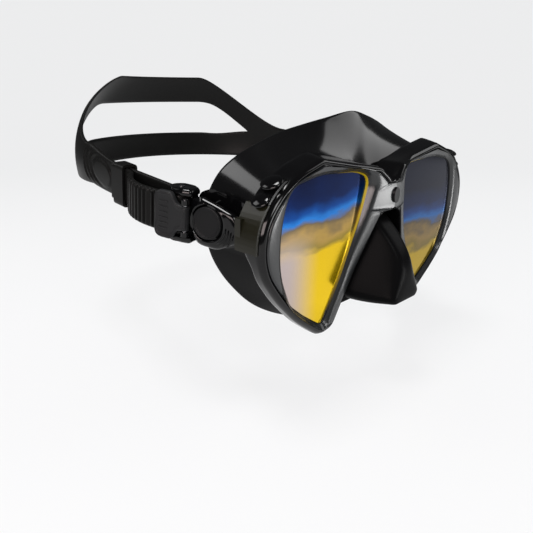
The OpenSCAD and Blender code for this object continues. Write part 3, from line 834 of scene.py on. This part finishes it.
# The right half of the strap in plan, from the tip of its free tail, round the roller and back along the head
TAIL = [(LAP_X, 80), (LAP_X, 73), (LAP_X, 66), (LAP_X - 1.2, 60.5), (-89.8, 54.5), (-93.6, 46.5),
        (-94.8, 37)]
UNDER = [in_plan(ROLLER_X - FOLD_R, y) for y in (26.5, 22)]
FOLD = [in_plan(ROLLER_X - FOLD_R * math.cos(a), ROLLER_Y - FOLD_R * math.sin(a))
        for a in [math.pi / 8 * q for q in range(9)]]
BESIDE = [(BAND_X, y) for y in (30, 45, 60, 75, 88, 98)]
BACK = [quarter_turn(i) for i in range(TURN_N + 1)]
ROUTE = [Vector(p) for p in TAIL + UNDER + FOLD + BESIDE + BACK]
STEPS = [6, 6, 14, 18, 24, 28, 32] + [10, 4] + [4] * 9 + [6, 6, 14, 26, 20, 20] + [12] * 4 + [7] * 12
FIRST_BACK = len(ROUTE) - len(BACK)
HALF_FOLD = len(TAIL) + len(UNDER) + 4  # from here on the outer face is the one away from the head
RIBS_END = len(TAIL) + 1.2


def along_route():
    """Points along the route, and for each its place counted in route points."""
    out, place = [], []
    last = len(ROUTE) - 1
    for i, n in enumerate(STEPS):
        a, b, c, d = (ROUTE[max(0, min(last, i + j))] for j in (-1, 0, 1, 2))
        for k in range(n):
            out.append(curve_point(a, b, c, d, k / n))
            place.append(i + k / n)
    return out + [ROUTE[-1]], place + [last]


PLAN, PLACE = along_route()
SLOT_START = next(i for i, place in enumerate(PLACE) if place >= FIRST_BACK + 4.5)
LOWER = [0, 0.015, 0.04, 0.08, 0.12, 0.165, 0.21, 0.255, 0.3, 0.345, 0.39, 0.43, 0.465, 0.49, 0.5]
SHARES = LOWER + [1 - v for v in reversed(LOWER)]  # across the band, with two points in the middle
ROWS_N, LOW_MID = len(SHARES), len(LOWER) - 1


def band_middle_z(y):
    """The band climbs straight, then curls up behind the ear."""
    return SWIVEL_Z + y * math.tan(RISE) + 0.0035 * max(0, y - 80) ** 2


def band_edges(place, y):
    """Lower and upper edge, which spread into the pad at the back of the head."""
    turn = max(0, place - FIRST_BACK) / TURN_N
    grow = smoothstep((y - 80) / 27)
    middle_z = band_middle_z(min(y, HEAD_Y))
    low = middle_z - BAND_W / 2 - 1.4 * grow
    high = middle_z + BAND_W / 2 + 2.4 * grow
    return lerp(low, 12, smoothstep(turn)), lerp(high, 70, smoothstep(turn / 0.62))


def skull(z):
    """Size of the head at height z, as a share of its largest."""
    return math.sqrt(1 - ((z - 20) / 68) ** 2)


def relief(place, y, off_middle):
    """Height of the moulded detail: ribs on the tail, and a disc with arcs beside the head."""
    h = 0.0
    if place < RIBS_END and y < 58:
        wave = math.sin(2 * math.pi * (y - 23) / 2.9)
        length_fade = smoothstep((y - 23) / 2) * smoothstep((57 - y) / 2)
        h += 0.8 * smoothstep(0.35 + 1.3 * wave) * length_fade * smoothstep((9.2 - off_middle) / 0.8)
    if place >= HALF_FOLD:
        along = (y - 93) / 9.5
        away = math.hypot(along, off_middle / 7.6)
        h += 0.8 * smoothstep((1.0 - away) / 0.1)
        if along > 0:
            for arc in (1.35, 1.75, 2.15):
                h += 0.7 * smoothstep(1 - abs(away - arc) / 0.13) * smoothstep((10.5 - off_middle) / 3)
    return h


def rounding(depth):
    """Share of the full thickness at a distance in from an edge."""
    t = 1 - min(1, depth / 1.1)
    return max(0.28, math.sqrt(1 - t * t))


def strap_column(i):
    """Points across the band at plan point i, on its outer and its inner face."""
    p, place = PLAN[i], PLACE[i]
    last = len(PLAN) - 1
    run = (PLAN[min(last, i + 1)] - PLAN[max(0, i - 1)]).normalized()
    out = Vector((-run.y, run.x)) if i < last else Vector((0, 1))
    low, high = band_edges(place, p.y)
    middle_z = (low + high) / 2
    back = smoothstep((p.y - 60) / 47) if place >= HALF_FOLD else 0
    gap = 0.2 * math.sin(math.pi / 2 * min(1, (i - SLOT_START) / 30)) if i >= SLOT_START else 0
    ribbed = place < RIBS_END  # the tail lies folded over, so its ribs are on its other face
    outer_face, inner_face = [], []
    for r, share in enumerate(SHARES):
        lower = r <= LOW_MID
        v = share * (1 - 2 * gap) if lower else 1 - (1 - share) * (1 - 2 * gap)
        z = lerp(low, high, v)
        size = lerp(1, skull(z), back)
        y = HEAD_Y + (p.y - HEAD_Y) * (size if p.y > HEAD_Y else 1)
        y -= (z - middle_z) * math.tan(RISE) * (1 - back)
        depth = min(v, 1 - v) * (high - low)
        if gap > 0:
            to_gap = abs(v - (0.5 - gap if lower else 0.5 + gap)) * (high - low)
            depth = min(depth, to_gap + (0.6 if gap < 0.02 else 0))
        full = rounding(depth)
        height = relief(place, p.y, abs(z - middle_z))
        for face, off in ((outer_face, BAND_T / 2 + (0 if ribbed else height)),
                          (inner_face, -BAND_T / 2 - (height if ribbed else 0))):
            face.append((p.x * size + out.x * off * full, y + out.y * off * full, z))
    return outer_face, inner_face


def strap_band():
    half = [strap_column(i) for i in range(len(PLAN))]
    columns = half + [(mirror_pts(a), mirror_pts(b)) for a, b in reversed(half[:-1])]
    last = len(columns) - 1
    verts = [p for a, b in columns for p in a + b]

    def corner(column, face, row):
        return (column * 2 + face) * ROWS_N + row

    def patch(c0, face0, r0, c1, face1, r1):
        """Four-cornered face between two opposite corners."""
        if face0 == face1:
            places = ((c0, r0), (c1, r0), (c1, r1), (c0, r1))
            return tuple(corner(c, face0, r) for c, r in places)
        if c0 == c1:
            return (corner(c0, 0, r0), corner(c0, 1, r0), corner(c0, 1, r1), corner(c0, 0, r1))
        return (corner(c0, 0, r0), corner(c0, 1, r0), corner(c1, 1, r0), corner(c1, 0, r0))

    strips = [r for r in range(ROWS_N - 1) if r != LOW_MID]
    faces = []
    for c in range(last):
        split = max(min(c, last - c), min(c + 1, last - c - 1)) > SLOT_START
        for r in strips:
            faces.append(patch(c, 0, r, c + 1, 0, r + 1))
            faces.append(patch(c, 1, r, c + 1, 1, r + 1))
        for r in (0, ROWS_N - 1) + ((LOW_MID, LOW_MID + 1) if split else ()):
            faces.append(patch(c, 0, r, c + 1, 1, r))
    for c in (0, last):
        faces += [patch(c, 0, r, c, 1, r + 1) for r in strips]
    strap_vis = make("strap_band", verts, faces, M_STRAP, SWING, "strap_rubber", weld=0.003, sharp=50)
    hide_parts("head_strap")


strap_band()

# ---------------------------------------------------------------- CAD pieces that are shown as they are
SHOWN = {
    "lens": (M_LENS, 0), "bridge_badge": (M_BADGE, 0.3), "corner_clip": (M_BLACK, 0.5),
    "side_bracket": (M_BRACKET_PAINTED_OLIVE, 0.35), "mount_pin": (M_STEEL, 0), "buckle_backplate": (M_BLACK, 0.3),
    "swivel_post": (M_STEEL, 0), "buckle_arm": (M_FRAME, 0.4), "roller_pin": (M_STEEL, 0),
    "strap_roller": (M_MATTE, 0), "lever_pin": (M_STEEL, 0), "lever_spring": (M_STEEL, 0),
    "strap_keeper": (M_STRAP, 0.5),
}  # material and edge rounding in mm


def dress(o, mat, rounding_mm):
    o.data.materials.clear()
    o.data.materials.append(mat)
    if rounding_mm:
        mod = o.modifiers.new("bevel", "BEVEL")
        mod.width = rounding_mm * MM
        mod.segments = 2
        mod.limit_method = "ANGLE"
        mod.angle_limit = math.radians(50)


for name, (mat, rounding_mm) in SHOWN.items():
    for suffix in ("", "_right", "_left"):
        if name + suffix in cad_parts:
            dress(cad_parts[name + suffix], mat, rounding_mm)


# ---------------------------------------------------------------- stage and light
def area(name, loc, target, size, power, color=(1, 1, 1)):
    d = bpy.data.lights.new(name, "AREA")
    d.shape = "RECTANGLE"
    d.size, d.size_y = size
    d.energy = power
    d.color = color
    o = bpy.data.objects.new(name, d)
    o.location = loc
    o.rotation_mode = "QUATERNION"
    o.rotation_quaternion = (Vector(target) - Vector(loc)).to_track_quat("-Z", "Y")
    bpy.context.scene.collection.objects.link(o)


def turned_sheet(name, profile, mat, n=64):
    """Surface of revolution about the stage's middle; profile is (radius, height) in metres."""
    middle_y, floor_z = 0.07, -0.09
    verts = [(q.x, q.y + middle_y, z + floor_z) for r, z in profile for q in round_ring(r, n)]
    faces = [(i * n + j, (i + 1) * n + j, (i + 1) * n + (j + 1) % n, i * n + (j + 1) % n)
             for i in range(len(profile) - 1) for j in range(n)]
    mesh = bpy.data.meshes.new(name)
    mesh.from_pydata(verts, [], faces)
    for face in mesh.polygons:
        face.use_smooth = True
    mesh.materials.append(mat)
    o = bpy.data.objects.new(name, mesh)
    bpy.context.scene.collection.objects.link(o)
    return o


def cyclorama():
    """Pale floor, and a wall that curves up round it and doesn't show in the object's reflections."""
    paper = material("paper", (0.15, 0.15, 0.152), 0.95, spec=0.05)
    surface = paper.node_tree.nodes["Principled BSDF"]
    surface.inputs["Emission Color"].default_value = (0.96, 0.965, 0.97, 1)
    surface.inputs["Emission Strength"].default_value = 0.73
    floor_r, bend_r, wall_h = 0.9, 0.6, 3
    bend = [(floor_r + bend_r * math.sin(a), bend_r - bend_r * math.cos(a))
            for a in [math.pi / 20 * q for q in range(11)]]
    turned_sheet("floor", [(0.00001, 0), (floor_r, 0)], paper)
    wall = turned_sheet("wall", bend + [(floor_r + bend_r, wall_h)], paper)
    wall.visible_glossy = False


cyclorama()
world = bpy.data.worlds.new("world")
bpy.context.scene.world = world
world.use_nodes = True
world.node_tree.nodes["Background"].inputs["Color"].default_value = (0.9, 0.92, 0.95, 1)
world.node_tree.nodes["Background"].inputs["Strength"].default_value = 0.06
area("top", (-0.25, 0.05, 0.85), (-0.05, 0, 0), (0.3, 0.25), 5)
area("forehead", (0.72, -0.47, 0.52), (0, 0, 0.04), (0.7, 0.5), 2.4)
area("temple", (-0.5, 0.6, 0.52), (-0.06, 0, 0.02), (0.34, 0.3), 1.1)
area("bridge", (0.145, -0.34, -0.05), (0, -0.03, 0.01), (0.14, 0.06), 0.42)
area("nose_side", (-0.72, -0.2, 0.24), (-0.016, -0.036, 0.005), (0.4, 0.3), 3.0, (1, 0.86, 0.84))
area("front_key", (-0.35, -0.75, 0.6), (0, 0, 0), (0.3, 0.3), 3)
